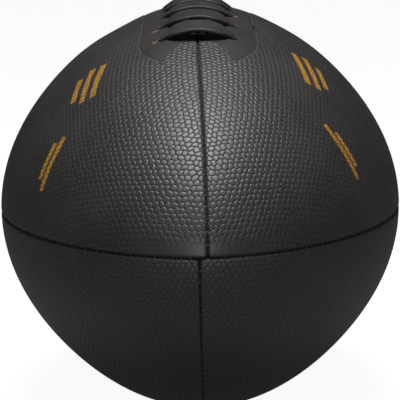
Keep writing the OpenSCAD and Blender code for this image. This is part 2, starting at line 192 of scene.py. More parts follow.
def toFlat(points):
    # Where points of an upper panel, given by their plan, lie in the flat panel
    target = np.array(points, float)
    x, y = target.T
    place = np.stack([flat["searchFrom"] * meridian(y) - x, y * halfArc / ball["halfLength"]], 1)
    step = flat["searchStep"]

    def plan(flatPlace):
        return skin(*overBall(*flatPlace.T))[0][:, :2]

    for _ in range(flat["searches"]):
        here = plan(place)
        overAcross = (plan(place + (step, 0)) - here) / step
        overAlong = (plan(place + (0, step)) - here) / step
        miss = target - here
        size = overAcross[:, 0] * overAlong[:, 1] - overAlong[:, 0] * overAcross[:, 1]
        place[:, 0] += (miss[:, 0] * overAlong[:, 1] - overAlong[:, 0] * miss[:, 1]) / size
        place[:, 1] += (overAcross[:, 0] * miss[:, 1] - miss[:, 0] * overAcross[:, 1]) / size
    return [tuple(spot) for spot in place.tolist()]


print("shape worked out")

# Camera and light

photo = {
    "pixels": 400,
    "distance": 1200.0,
    "elevation": 8.8885, "azimuth": -0.1456, "roll": -0.9082,
    "pixelsPerMillimetre": 2.3044,
    "shiftRight": 0.0145, "shiftUp": 2.181,
    "sensor": 36.0,
    "clip": (0.05, 20.0),
}


def turnedBoth(first, second, angle):
    # Two directions that are square to each other, turned in their own plane
    cos, sin = math.cos(angle), math.sin(angle)
    return first * cos + second * sin, second * cos - first * sin


def photoCamera():
    focal = photo["pixelsPerMillimetre"] * photo["distance"]
    up = math.radians(photo["elevation"])
    aside = math.radians(photo["azimuth"])
    away = Vector((math.sin(aside) * math.cos(up), -math.cos(aside) * math.cos(up), math.sin(up)))
    forward = -away
    right = forward.cross(Vector((0, 0, 1))).normalized()
    above = right.cross(forward)
    forward, right = turnedBoth(forward, right, -math.atan(photo["shiftRight"] / focal))
    forward, above = turnedBoth(forward, above, math.atan(photo["shiftUp"] / focal))
    right, above = turnedBoth(right, above, math.radians(photo["roll"]))
    place = Vector((0, 0, ball["centreHeight"])) + away * photo["distance"]
    camera = bpy.data.objects.new("photoCamera", bpy.data.cameras.new("photoCamera"))
    bpy.context.scene.collection.objects.link(camera)
    turn = Matrix((right, above, -forward)).transposed().to_4x4()
    camera.matrix_world = Matrix.Translation(place * millimetre) @ turn
    camera.data.sensor_width = photo["sensor"]
    camera.data.lens = focal / photo["pixels"] * photo["sensor"]
    camera.data.clip_start, camera.data.clip_end = photo["clip"]
    bpy.context.scene.camera = camera


photoCamera()

studio = {
    "key": {"place": (0.0, -0.3, 1.33), "size": 0.7, "power": 21.0},
    "front": {"place": (0.0, -1.25, 0.15), "size": 0.5, "power": 3.0},
    "white": (1, 1, 1, 1),
    "worldFill": 0.02,
    "floorSize": 14.0,
    "floorColour": (0.14, 0.14, 0.14, 1),
    "floorGlow": 0.94,
    "floorGloss": 0.08,
}


def areaLight(name, values):
    light = bpy.data.lights.new(name, "AREA")
    light.shape = "DISK"
    light.size = values["size"]
    light.energy = values["power"]
    lamp = bpy.data.objects.new(name, light)
    bpy.context.scene.collection.objects.link(lamp)
    place = Vector(values["place"])
    target = Vector((0, 0, ball["centreHeight"] * millimetre))
    lamp.rotation_euler = (target - place).to_track_quat("-Z", "Y").to_euler()
    lamp.location = place


for lampName in ("key", "front"):
    areaLight(lampName + "Light", studio[lampName])

bpy.context.scene.view_settings.view_transform = "Standard"
print("camera and lamps placed")

# Materials


class Value:
    # One socket of a finish, with its own arithmetic
    def __init__(self, finish, socket):
        self.finish = finish
        self.socket = socket

    def maths(self, operation, *others):
        return self.finish.node("ShaderNodeMath", {"operation": operation}, *others)

    def __add__(self, other):
        return self.maths("ADD", self, other)

    def __sub__(self, other):
        return self.maths("SUBTRACT", self, other)

    def __rsub__(self, other):
        return self.maths("SUBTRACT", other, self)

    def __mul__(self, other):
        return self.maths("MULTIPLY", self, other)

    def __truediv__(self, other):
        return self.maths("DIVIDE", self, other)

    def __abs__(self):
        return self.maths("ABSOLUTE", self)

    __radd__ = __add__
    __rmul__ = __mul__

    def sine(self):
        return self.maths("SINE", self)

    def atMost(self, other):
        return self.maths("MINIMUM", self, other)

    def atLeast(self, other):
        return self.maths("MAXIMUM", self, other)

    def between(self, low, high):
        # 0 below low, 1 above high, smooth in between
        settings = {"interpolation_type": "SMOOTHSTEP"}
        return self.finish.node("ShaderNodeMapRange", settings, self, low, high)


def shade(colour, share):
    return tuple(part * share for part in colour[:3]) + (1,)


class Finish:
    # One material or world, whose nodes all come from node()
    def __init__(self, name, owners=bpy.data.materials, output="ShaderNodeOutputMaterial"):
        self.owner = owners.new(name)
        self.owner.use_nodes = True
        self.tree = self.owner.node_tree
        self.tree.nodes.clear()
        self.output = self.tree.nodes.new(output)

    def node(self, kind, settings=None, *values, out=0, **named):
        made = self.tree.nodes.new(kind)
        for key, setting in (settings or {}).items():
            setattr(made, key, setting)
        filled = list(enumerate(values))
        filled += [(key.replace("_", " "), value) for key, value in named.items()]
        for key, value in filled:
            if isinstance(value, Value):
                self.tree.links.new(value.socket, made.inputs[key])
            elif value is not None:
                made.inputs[key].default_value = value
        return Value(self, made.outputs[out])

    def mix(self, share, first, second):
        # the node's colours come after five sockets that a colour mix doesn't use
        values = [share, None, None, None, None, None, first, second]
        return self.node("ShaderNodeMix", {"data_type": "RGBA"}, *values, out=2)

    def shades(self, look, share):
        return self.mix(share, *[shade(look["colour"], part) for part in look["shades"]])

    def place(self):
        return self.node("ShaderNodeTexCoord", out="Object")

    def parts(self, place, axes):
        return [self.node("ShaderNodeSeparateXYZ", None, place, out=axis) for axis in axes]

    def noise(self, scale, detail):
        return self.node("ShaderNodeTexNoise", None, Vector=self.place(), Scale=scale, Detail=detail)

    def surface(self, shader):
        self.tree.links.new(shader.socket, self.output.inputs["Surface"])
        return self.owner

    def dressed(self, look, tone, roughness, relief):
        normal = self.node("ShaderNodeBump", None, *look["bump"], Height=relief)
        named = dict(look.get("shader", {}), Base_Color=tone, Roughness=roughness, Normal=normal)
        return self.surface(self.node("ShaderNodeBsdfPrincipled", None, **named))


# In a look, shades are the darkest and the lightest share of its colour, a noise has its scale and detail,
# a spread is where it goes from one side to the other, and a bump has its strength and depth in metres
leatherLook = {
    "colour": (0.0265, 0.0236, 0.0232, 1),
    "shades": (0.86, 1.16),
    "blotch": (45.0, 3.0), "blotchSpread": (0.35, 0.68),
    "grain": (2600.0, 3.0),
    # painted shade darkens valleys, rolled seam edges, the facing's line and hole rims down to this share
    # of the colour
    "paintedShadeShare": 0.1, "valleySpread": (0.2, 0.9),
    "roughness": 0.42, "valleyRough": 0.4, "grainRough": 0.1,
    "bump": (0.35, 0.00012),
    "shader": {"Specular_IOR_Level": 0.8},
}
goldLook = {
    "colour": (0.58, 0.31, 0.045, 1),
    "dark": (0.24, 0.11, 0.018, 1),
    "spread": (0.35, 0.65),
    "edge": 0.3,
    "left": 0.5,  # how much of it wear has left at least, and what the blotches add
    "leftByBlotch": 0.9,
    "smoother": 0.1,
}
rawLook = {
    "colour": (0.27, 0.12, 0.09, 1),
    "fibre": (900.0, 4.0), "spread": (0.3, 0.62),
    "edge": (1.5, 0.3),  # where a bare spot ends and where it is full, as shares of its radius squared
}
marks = {
    # each printed bar: middle across and along the flat panel, half width, half length, in mm, turn
    "barsLeft": [
        (14, -62, 1.6, 12, -28), (9, -59, 1.6, 12, -28), (4, -56, 1.6, 8, -28), (-22, -84, 12, 1.5, 20),
        (-23, -79.6, 8, 1.5, 20),
    ],
    "barsRight": [
        (15, -52, 1.5, 12, -28), (10, -49, 1.5, 12, -28), (5, -46, 1.5, 8, -28), (-18, -84, 13, 1.3, 12),
        (-19, -80.4, 8, 1.3, 12),
    ],
    # each bare spot beside a hole: its plan and its radius, in mm
    "scuffsLeft": [(17.9, -41.5, 1.5), (17.6, -54.0, 1.3)],
    "scuffsRight": [(16.6, -21.0, 1.1)],
}


def together(masks):
    whole = masks[0]
    for mask in masks[1:]:
        whole = whole.atLeast(mask)
    return whole


def barMask(across, along, bar):
    middle, place, halfWidth, halfLength, turn = bar
    cos, sin = math.cos(math.radians(turn)), math.sin(math.radians(turn))
    side = (across - middle) * cos + (along - place) * sin
    ahead = (along - place) * cos - (across - middle) * sin
    edge = goldLook["edge"]
    inWidth = abs(side).between(halfWidth + edge, halfWidth - edge)
    return inWidth * abs(ahead).between(halfLength + edge, halfLength - edge)


def scuffMask(across, along, scuff):
    x, y = toFlat([scuff[:2]])[0]
    gap = (across - x) * (across - x) + (along - y) * (along - y)
    return gap.between(*[scuff[2] * scuff[2] * share for share in rawLook["edge"]])


def panelLeather(name, bars=(), scuffs=()):
    look, gold, raw = leatherLook, goldLook, rawLook
    finish = Finish(name)
    spot = finish.node("ShaderNodeUVMap", {"uv_map": "flat"})
    across, along = [part / millimetre for part in finish.parts(spot, "XY")]
    blotch = finish.noise(*look["blotch"])
    grain = finish.noise(*look["grain"])
    paintedShade = finish.node("ShaderNodeAttribute", {"attribute_name": "paintedShade"}, out="Fac")
    # Painted shade: the leather darkens where the attribute marks valleys between pebbles, rolled seam
    # edges, the facing's line and hole rims
    dark = paintedShade.between(*look["valleySpread"])
    tone = finish.shades(look, blotch.between(*look["blotchSpread"]))
    tone = finish.mix(dark, tone, shade(look["colour"], look["paintedShadeShare"]))
    roughness = look["roughness"] + look["valleyRough"] * dark + look["grainRough"] * grain
    if bars:
        printed = together([barMask(across, along, bar) for bar in bars])
        # the gold leaves out the valleys that painted shade darkens
        worn = printed * (1 - dark) * (gold["left"] + gold["leftByBlotch"] * blotch).atMost(1)
        foil = finish.mix(grain.between(*gold["spread"]), gold["dark"], gold["colour"])
        tone = finish.mix(worn, tone, foil)
        roughness = roughness - gold["smoother"] * worn
    if scuffs:
        bare = together([scuffMask(across, along, scuff) for scuff in scuffs])
        frayed = finish.noise(*raw["fibre"]).between(*raw["spread"])
        tone = finish.mix(bare * frayed, tone, raw["colour"])
    return finish.dressed(look, tone, roughness, grain)


strapLook = {
    "colour": (0.032, 0.029, 0.0285, 1),
    "shades": (0.8, 1.2),
    "blotch": (120.0, 3.0), "spread": (0.3, 0.7),
    "grain": (1500.0, 5.0),
    "roughness": 0.45, "grainRough": 0.15,
    # pits, where the bump sinks, are darkened with painted shade
    "pits": 900.0, "pitSpread": (0.45, 0.75), "pitShare": 0.6, "pitPaintedShade": 0.35, "pitDepth": 0.8,
    "bump": (0.5, 0.0002),
}


def strapFinish():
    look = strapLook
    finish = Finish("laceStrap")
    grain = finish.noise(*look["grain"])
    tone = finish.shades(look, finish.noise(*look["blotch"]).between(*look["spread"]))
    pit = finish.node("ShaderNodeTexVoronoi", None, Vector=finish.place(), Scale=look["pits"])
    # painted shade in the pits
    paintedPitShade = pit.between(*look["pitSpread"]) * look["pitShare"]
    tone = finish.mix(paintedPitShade, tone, shade(look["colour"], look["pitPaintedShade"]))
    roughness = look["roughness"] + look["grainRough"] * grain
    return finish.dressed(look, tone, roughness, grain - look["pitDepth"] * pit)


threadLook = {
    "colour": (0.075, 0.07, 0.068, 1),
    "shades": (0.55, 1.25),
    "fibre": (3200.0, 4.0), "spread": (0.3, 0.7),
    "roughness": 0.85,
    "bump": (0.6, 0.0001),
}


def threadFinish():
    look = threadLook
    finish = Finish("seamThread")
    fibre = finish.noise(*look["fibre"])
    tone = finish.shades(look, fibre.between(*look["spread"]))
    return finish.dressed(look, tone, look["roughness"], fibre)


clothLook = {
    "colour": (0.58, 0.53, 0.42),
    "shades": (0.7, 1.1),
    "threads": 9000.0,
    "slub": (300.0, 4.0), "slubShare": 0.4,
    "roughness": 0.85,
    "bump": (0.6, 0.00025),
    "shader": {"Sheen_Weight": 0.2},
}


def clothFinish():
    look = clothLook
    finish = Finish("liningCloth")
    x, y, z = finish.parts(finish.place(), "XYZ")
    waves = [(part * look["threads"]).sine() * 0.5 + 0.5 for part in (x + z, y)]
    cloth = waves[0] * 0.5 + waves[1] * 0.5
    slub = look["slubShare"] * finish.noise(*look["slub"])
    tone = finish.shades(look, cloth * (1 - look["slubShare"]) + slub)
    return finish.dressed(look, tone, look["roughness"], cloth + slub)


suedeLook = {
    "colour": (0.12, 0.08, 0.055),
    "shades": (0.6, 1.35),
    "fibre": (1400.0, 6.0),
    "blotch": (60.0, 3.0), "blotchShare": 0.4,
    "roughness": 0.88,
    "bump": (0.7, 0.0003),
    "shader": {"Sheen_Weight": 0.15},
}


def suedeFinish():
    look = suedeLook
    finish = Finish("facingLeather")
    fibre = finish.noise(*look["fibre"])
    blotch = finish.noise(*look["blotch"])
    share = fibre * (1 - look["blotchShare"]) + blotch * look["blotchShare"]
    return finish.dressed(look, finish.shades(look, share), look["roughness"], fibre)


rubberLook = {
    "shades": (0.85, 1.4),
    "bloom": (90.0, 4.0), "spread": (0.3, 0.75), "bloomRough": 0.15,
    "pores": (1800.0, 3.0),
    "bump": (0.3, 0.0001),
}


def rubberFinish(name, colour, roughness):
    look = dict(rubberLook, colour=colour)
    finish = Finish(name)
    bloom = finish.noise(*look["bloom"])
    tone = finish.shades(look, bloom.between(*look["spread"]))
    pores = finish.noise(*look["pores"])
    return finish.dressed(look, tone, roughness + look["bloomRough"] * bloom, pores)


def floorFinish():
    finish = Finish("paleFloor")
    rays = ("Is Camera Ray", "Is Glossy Ray", "Is Transmission Ray")
    straight, glossy, through = [finish.node("ShaderNodeLightPath", out=ray) for ray in rays]
    seen = straight.atLeast(glossy * studio["floorGloss"]).atLeast(through)
    glow = finish.node("ShaderNodeEmission", None, studio["white"], seen * studio["floorGlow"])
    matt = finish.node("ShaderNodeBsdfDiffuse", None, studio["floorColour"])
    return finish.surface(finish.node("ShaderNodeAddShader", None, glow, matt))


def paleWorld():
    world = Finish("paleWorld", bpy.data.worlds, "ShaderNodeOutputWorld")
    seen = world.node("ShaderNodeLightPath", out="Is Camera Ray")
    strength = world.node("ShaderNodeMapRange", None, seen, To_Min=studio["worldFill"], To_Max=1)
    light = world.node("ShaderNodeBackground", None, studio["white"], strength)
    bpy.context.scene.world = world.surface(light)


paleWorld()
finishes = {
    "panelLeft": panelLeather("pebbledLeatherLeft", marks["barsLeft"], marks["scuffsLeft"]),
    "panelRight": panelLeather("pebbledLeatherRight", marks["barsRight"], marks["scuffsRight"]),
    "panelPlain": panelLeather("pebbledLeatherPlain"),
    "strap": strapFinish(),
    "thread": threadFinish(),
    "lining": clothFinish(),
    "facing": suedeFinish(),
    "bladder": rubberFinish("bladderRubber", (0.03, 0.03, 0.032), 0.6),
    "valve": rubberFinish("valveRubber", (0.02, 0.02, 0.021), 0.5),
    "core": rubberFinish("coreRubber", (0.36, 0.06, 0.04), 0.5),
    "floor": floorFinish(),
}
print("materials made")

# The lie of the leather

seam = {
    "gap": 0.05,
    "roll": 1.35,
    "rollCuts": (0, 0.33, 0.66, 1),
    "foldIn": 3.3,  # leather past the roll, turned into the ball
    "corner": 0.35,
    "pitchTop": 5.1,  # from one stitch to the next, along the top and bottom seams
    "pitchSide": 3.4,
    "pinch": 0.2, "pinchFlat": 0.4, "pinchReach": 3.0, "pinchPower": 3,
    # how fast painted shade darkens an edge as it turns in, and how much less along the top and bottom
    "dark": 1.3, "paintedShadeLess": 0.5,
    "topSlide": 2.35, "bottomSlide": -0.86,
    "slideFrom": 70.0, "slideWidth": 26.0, "slideSlope": 0.3,
    "settleLeft": 1.1, "settleRight": 0.6,  # how far the shoulders beside the laces have sunk
    "settleAngle": 23.0, "settleWidth": 10.0, "settleEnd": (45.0, 85.0),
    "offMiddle": 1.0,  # keeps the slopes away from the very middle
}
rollStart = seam["gap"] + seam["roll"]
rollQuarter = seam["roll"] * math.pi / 2
merge = {"rings": 1e-5, "cuts": 0.004, "sliver": 0.003}  # corners closer than this become one
halfGrid = 0.5  # a new grid is one wide


def smoothShare(value, low, high):
    share = np.clip((value - low) / (high - low), 0, 1)
    return share * share * (3 - 2 * share)


def slide(points):
    # Near the front tip the sewn top seam has slid to one side and the bottom seam to the other
    x, y, z = points.T
    ramp = np.clip((-y - seam["slideFrom"]) / (ball["halfLength"] - seam["slideFrom"]), 0, 1)
    size = np.where(z > 0, seam["topSlide"], seam["bottomSlide"])
    shift = size * ramp * np.exp(-(x / seam["slideWidth"]) ** 2)
    slope = skinMean * meridianSlope(np.minimum(y, -seam["offMiddle"]))
    ahead = (np.hypot(x + shift, z) - np.hypot(x, z)) / np.maximum(slope, seam["slideSlope"])
    return np.stack([x + shift, y + ahead, z], 1)


def settle(points):
    # Beside the laces the leather has sunk a little
    x, y, z = points.T
    angle = np.degrees(np.arctan2(np.abs(x), z))
    size = np.where(x < 0, seam["settleLeft"], seam["settleRight"])
    size = size * np.exp(-((angle - seam["settleAngle"]) / seam["settleWidth"]) ** 2)
    size = size * (1 - smoothShare(np.abs(y), *seam["settleEnd"]))
    share = 1 - size / np.maximum(np.hypot(x, z), seam["offMiddle"])
    return np.stack([x * share, y, z * share], 1)


def coordinates(bm):
    return np.array([vert.co[:] for vert in bm.verts])


def setCoordinates(bm, places):
    for vert, place in zip(bm.verts, places):
        vert.co = place


def newObject(name, bm, finish):
    mesh = bpy.data.meshes.new(name)
    bm.to_mesh(mesh)
    bm.free()
    piece = bpy.data.objects.new(name, mesh)
    bpy.context.scene.collection.objects.link(piece)
    mesh.materials.append(finishes[finish])
    return piece


def finished(name, bm, slotName, finish, *replaced):
    bmesh.ops.scale(bm, vec=(millimetre, millimetre, millimetre), verts=bm.verts)
    bmesh.ops.translate(bm, vec=(0, 0, ball["centreHeight"] * millimetre), verts=bm.verts)
    for face in bm.faces:
        face.smooth = True
    piece = newObject(name, bm, finish)
    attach(piece, "root")
    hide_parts(*replaced)


# Straps and threads, swept as closed rings


def sweepRings(bm, rings):
    # A grid is rolled up into a tube, ring by ring, and closed at its ends
    rows, sides = len(rings) - 1, len(rings[0])
    grid = bmesh.ops.create_grid(bm, x_segments=sides, y_segments=rows, size=halfGrid)["verts"]
    for vert in grid:
        column = round((vert.co.x + halfGrid) * sides) % sides
        row = round((vert.co.y + halfGrid) * rows)
        vert.co = rings[row][column]
    bmesh.ops.remove_doubles(bm, verts=grid, dist=merge["rings"])
    ends = [edge for edge in bm.edges if edge.is_boundary]
    bmesh.ops.holes_fill(bm, edges=ends, sides=sides)
    bmesh.ops.recalc_face_normals(bm, faces=bm.faces)


lace = {
    "bars": 8,
    "pitch": 15.2,
    "holeX": 14.3,
    "barWidth": 11.2, "barThick": 1.5,
    "rise": 2.25,
    "rim": 0.3,  # how much thicker the strap is along its edges, as a share
    "rimPower": 8,
    "square": 0.42,
    "sides": 22,
    "plugWidth": 3.9, "plugThick": 3.0,
    "archAcross": (7.5, 12.6), "archHigh": 0.0, "archFoot": -3.6, "archSteps": 12,
    "narrow": (0.42, 0.95),  # from where to where on the way down it gets as slim as its hole
    "thicken": (0.66, 1.0),
    "runWidth": 5.6, "runThick": 1.4, "runDepth": 3.98,
    "tail": 8.0,
    "leanReach": 0.76,
}
strand = {
    "width": 3.3, "thick": 1.4,
    "apart": 1.78, "lift": 0.85,
    "half": 57.0, "steps": 44,
    "taper": 0.7, "taperLength": 0.5,
}
laceSpan = (lace["bars"] - 1) * lace["pitch"]
runTurn = math.asin((lace["holeX"] + axisOff) / (ball["middleRadius"] - lace["runDepth"] + axisFar))
sweepAngles = np.arange(lace["sides"]) / lace["sides"] * 2 * math.pi


def barY(index):
    return index * lace["pitch"] - laceSpan / 2


def barWay(index):
    # The lace crosses to the right at every other bar and back at the next
    return 1 if index % 2 == 0 else -1


def seamFrame(y):
    # A place on the seam above, and the ways out of it and along it
    reach = lace["leanReach"]
    lean = math.atan((layerHeight(y + reach, 0, 0) - layerHeight(y - reach, 0, 0)) / (2 * reach))
    outward = np.array([0, -math.sin(lean), math.cos(lean)])
    return np.array([0, y, layerHeight(y, 0, 0)]), outward, np.array([0, math.cos(lean), math.sin(lean)])


def strapRing(at, wide, thick, width, depth, rim=0):
    side, top = np.cos(sweepAngles), np.sin(sweepAngles)
    side = np.sign(side) * np.abs(side) ** lace["square"]
    top = np.sign(top) * np.abs(top) ** lace["square"] * (1 + rim * np.abs(side) ** lace["rimPower"])
    return np.array(at) + np.outer(side * width / 2, wide) + np.outer(top * depth / 2, thick)


def archPlace(share):
    # Half a crossbar from its top, at share 0, to its foot in the hole, at share 1
    top = lace["rise"] + lace["barThick"] / 2
    points = np.array([
        (0, top), (lace["archAcross"][0], top), (lace["archAcross"][1], lace["archHigh"]),
        (lace["holeX"], lace["archFoot"]),
    ])
    rest = 1 - share
    place = rest ** 3 * points[0] + 3 * rest ** 2 * share * points[1]
    place = place + 3 * rest * share ** 2 * points[2] + share ** 3 * points[3]
    way = 3 * rest ** 2 * (points[1] - points[0]) + 6 * rest * share * (points[2] - points[1])
    way = way + 3 * share ** 2 * (points[3] - points[2])
    return place, way / np.linalg.norm(way)


def barRings(index):
    way = barWay(index)
    start, outward, along = seamFrame(barY(index))
    drop = (start[2] - layerHeight(barY(index), 0, lace["holeX"])) * outward[2]
    low = -drop - lace["runDepth"] / math.cos(runTurn)

    def ring(x, high, faceX, faceHigh, width, depth, rim=0):
        at = start + np.array([way * x, 0, 0]) + outward * high
        thick = np.array([way * faceX, 0, 0]) + outward * faceHigh
        return strapRing(at, along * way, thick, width, depth, rim)

    def foot(side):
        turn = math.pi + runTurn if side < 0 else -runTurn
        x = side * lace["holeX"]
        return ring(x, low, math.cos(turn), math.sin(turn), lace["plugWidth"], lace["plugThick"])

    rings = [foot(-1)]
    for step in range(-lace["archSteps"], lace["archSteps"] + 1):
        share = abs(step) / lace["archSteps"]
        side = -1 if step < 0 else 1
        (x, high), (wayX, wayHigh) = archPlace(share)
        narrow = smoothShare(share, *lace["narrow"])
        thicken = smoothShare(share, *lace["thicken"])
        width = lace["barWidth"] + (lace["plugWidth"] - lace["barWidth"]) * narrow
        depth = lace["barThick"] + (lace["plugThick"] - lace["barThick"]) * thicken
        rings.append(ring(side * x, high, -side * wayHigh, wayX, width, depth, lace["rim"] * (1 - narrow)))
    return rings + [foot(1)]


def runRing(y, way):
    # The lace runs on under the leather from one hole to the next
    _, outward, _ = seamFrame(y)
    at = (way * lace["holeX"], y, layerHeight(y, lace["runDepth"] + lace["runThick"] / 2, lace["holeX"]))
    out = outward * math.cos(runTurn) + np.array([way * math.sin(runTurn), 0, 0])
    side = np.array([math.cos(runTurn) * way, 0, -math.sin(runTurn)])
    return strapRing(at, out * way, side, lace["runThick"], lace["runWidth"])


def makeLace():
    last = lace["bars"] - 1
    runIn = (lace["plugWidth"] + lace["runThick"]) / 2
    rings = [runRing(barY(0) - back, -1) for back in (lace["tail"], runIn)]
    for index in range(lace["bars"]):
        rings += barRings(index)
        if index < last:
            middle = (barY(index) + barY(index + 1)) / 2
            places = (barY(index) + runIn, middle, barY(index + 1) - runIn)
            rings += [runRing(y, barWay(index)) for y in places]
    rings += [runRing(barY(last) + ahead, barWay(last)) for ahead in (runIn, lace["tail"])]
    bm = bmesh.new()
    sweepRings(bm, rings)
    finished("lace_strap", bm, "lace_strap", "strap", "lace")


def makeStrands():
    bm = bmesh.new()
    ys = np.linspace(-strand["half"], strand["half"], strand["steps"])
    end = strand["taperLength"]
    ys = np.concatenate([ys[:1], ys[:1] + end, ys[1:-1], ys[-1:] - end, ys[-1:]])
    for side in (-1, 1):
        rings = []
        for y in ys:
            at, outward, _ = seamFrame(y)
            at = at + np.array([side * strand["apart"], 0, 0]) + outward * strand["lift"]
            share = strand["taper"] if abs(y) == strand["half"] else 1
            width, depth = strand["width"] * share, strand["thick"] * share
            rings.append(strapRing(at, (1, 0, 0), outward, width, depth))
        sweepRings(bm, rings)
    finished("lace_strand_straps", bm, "lace_strap", "strap", "lace_strand")


makeLace()
makeStrands()
print("laces made")

# Stitches

stitch = {
    "coreRadius": 0.2, "coreDepth": 1.75, "coreStep": 4.0, "coreSides": 8,
    "sizes": (0.86, 0.22, 0.24),  # half its span over the seam, half its width, half its height
    "segments": (8, 5),
    "depth": 0.5,
    "fromTip": 5.0,
    "slitHalf": 62.3,
    "samples": 6001,
}
seamY = np.linspace(-ball["halfLength"], ball["halfLength"], stitch["samples"])
seamArc = np.concatenate([[0], np.cumsum(np.hypot(np.diff(seamY), np.diff(seamReach(seamY))))])


def seamPlaces(turn, arcs):
    # Places on a seam, with the ways across it, along it and out of the leather
    y = np.interp(arcs, seamArc, seamY)
    ny, nOut = seamNormal(y)
    out = np.array([math.sin(turn), 0, math.cos(turn)])
    across = np.array([math.cos(turn), 0, -math.sin(turn)])
    ahead = np.array([0, 1, 0])
    place = np.outer(seamReach(y), out) + np.outer(y, ahead)
    normal = np.outer(nOut, out) + np.outer(ny, ahead)
    along = np.outer(nOut, ahead) - np.outer(ny, out)
    return place, across, along, normal


def makeThread(name, turn, first, last, pitch):
    # The thread that runs along the seam, and a stitch over it at every pitch
    bm = bmesh.new()
    count = int((last - first) / stitch["coreStep"])
    place, across, _, normal = seamPlaces(turn, np.linspace(first, last, count))
    spin = np.arange(stitch["coreSides"]) / stitch["coreSides"] * 2 * math.pi
    rings = []
    for centre, up in zip(place - normal * stitch["coreDepth"], normal):
        reach = np.outer(np.cos(spin), across) + np.outer(np.sin(spin), up)
        rings.append(centre + stitch["coreRadius"] * reach)
    sweepRings(bm, rings)
    arcs = np.arange(math.ceil(first / pitch), math.floor(last / pitch) + 1) * pitch
    place, across, along, normal = seamPlaces(turn, arcs)
    columns, rows = stitch["segments"]
    for spot, ahead, up in zip(place, along, normal):
        ways = zip((across, ahead, up), stitch["sizes"])
        axes = Matrix([Vector(way) * size for way, size in ways]).transposed()
        matrix = Matrix.Translation(Vector(spot - up * stitch["depth"])) @ axes.to_4x4()
        bmesh.ops.create_uvsphere(bm, u_segments=columns, v_segments=rows, radius=1, matrix=matrix)
    bmesh.ops.recalc_face_normals(bm, faces=bm.faces)
    setCoordinates(bm, slide(coordinates(bm)))
    finished(name + "_stitches", bm, "seam_thread", "thread", name)


wholeSeam = (stitch["fromTip"], seamArc[-1] - stitch["fromTip"])
slitArc = [float(np.interp(side * stitch["slitHalf"], seamY, seamArc)) for side in (-1, 1)]
threads = {
    "seam_thread_left": (-math.pi / 2, *wholeSeam, seam["pitchSide"]),
    "seam_thread_right": (math.pi / 2, *wholeSeam, seam["pitchSide"]),
    "seam_thread_bottom": (math.pi, *wholeSeam, seam["pitchTop"]),
    "seam_thread_top_front": (0, wholeSeam[0], slitArc[0], seam["pitchTop"]),
    "seam_thread_top_rear": (0, slitArc[1], wholeSeam[1], seam["pitchTop"]),
}
for threadName, values in threads.items():
    makeThread(threadName, *values)
print("stitches made")

# Panels

pebble = {
    "size": 2.56,  # from the middle of one pebble to the next
    "lean": 11.0,  # the rows of pebbles drop away from the top seam
    "jitter": 0.36,
    "rim": (0.24, 0.22), "crown": (0.3, 0.035),  # how wide, and how high
    "room": 0.62,  # less room than this, from its middle to a side, makes it a cut pebble
    "least": 0.25,  # area under which a cut pebble stays flat
    "leastShare": 0.15, "cutShare": 0.8, "cutHeight": 0.6,
    "smallest": 0.3,  # share of a pebble under which a rest joins its neighbour
    "lowerShare": 0.7,
    "smoothFrom": 60.0, "smoothStrip": (3.0, 8.5), "smoothReach": (16.0, 30.0),
}
sheet = {
    "pastTip": 26.0, "halfWidth": 106.0,
    # what is kept across, past a tip and past a seam, until it is trimmed
    "keepAcross": 82.0, "keepPastTip": 11.0, "keepPastSeam": 9.0,
    "gapSides": 6,  # the most sides of a gap that is left in the rim and filled
}
groove = {
    # plan of half the line round the lace holes, from past the seam to the middle of its length
    "outline": [
        (-6.0, 60.0), (0.0, 60.0), (7.6, 61.0), (11.0, 67.4), (15.2, 73.6), (20.6, 65.2), (23.7, 57.0),
        (24.6, 49.5), (23.6, 40.0), (23.2, 30.0), (23.0, 20.0), (22.9, 10.0), (22.9, 0.0),
    ],
    "depth": 0.1,
    # the line and the narrow strip inside it are darkened with painted shade; dark is the painted shade on
    # the line
    "strips": ((0.26, 0), (0.2, 0.05)),  # how wide, and how far up: the dark line, then its inner edge
    "raise": 0.05,
    "dark": 1.2,
    "clear": (0.8, 0.4),  # least room inside and outside the line
    "reach": 1.9, "probe": 0.01, "onLine": 0.03, "offLine": 0.0015,
}
hole = {
    "sides": 14,
    "lace": 2.3,
    "valve": 3.62,
    # a hole's rim drops a little and is darkened with painted shade
    "rim": 0.6, "rimEdge": 0.25, "rimDrop": 0.12, "rimPaintedShade": 0.8,
    "ringSlack": 1.03, "inRing": 1.05,
    "smooth": 1.1,
    "walls": ((0.22, 0.97), (0.7, 0.95)),  # how far down, and how wide against the ring above
    "reach": 2.2, "innerReach": 5.0, "near": 5.0,
}
under = {"depth": 1.1, "halfWidth": 13.0, "from": (58.8, 61.4), "above": 20.0}


def polygonDistance(x, y, edge):
    # Distance to a closed outline, above zero inside it
    nearest = np.full(len(x), np.inf)
    inside = np.zeros(len(x), bool)
    closed = list(edge) + [edge[0]]
    for (x1, y1), (x2, y2) in zip(closed, closed[1:]):
        length = (x2 - x1) ** 2 + (y2 - y1) ** 2
        share = np.clip(((x - x1) * (x2 - x1) + (y - y1) * (y2 - y1)) / length, 0, 1)
        gap = np.hypot(x - x1 - share * (x2 - x1), y - y1 - share * (y2 - y1))
        nearest = np.minimum(nearest, gap)
        crosses = (y1 > y) != (y2 > y)
        with np.errstate(divide="ignore", invalid="ignore"):
            at = x1 + (y - y1) / (y2 - y1) * (x2 - x1)
        inside ^= crosses & (x < at)
    return np.where(inside, nearest, -nearest)


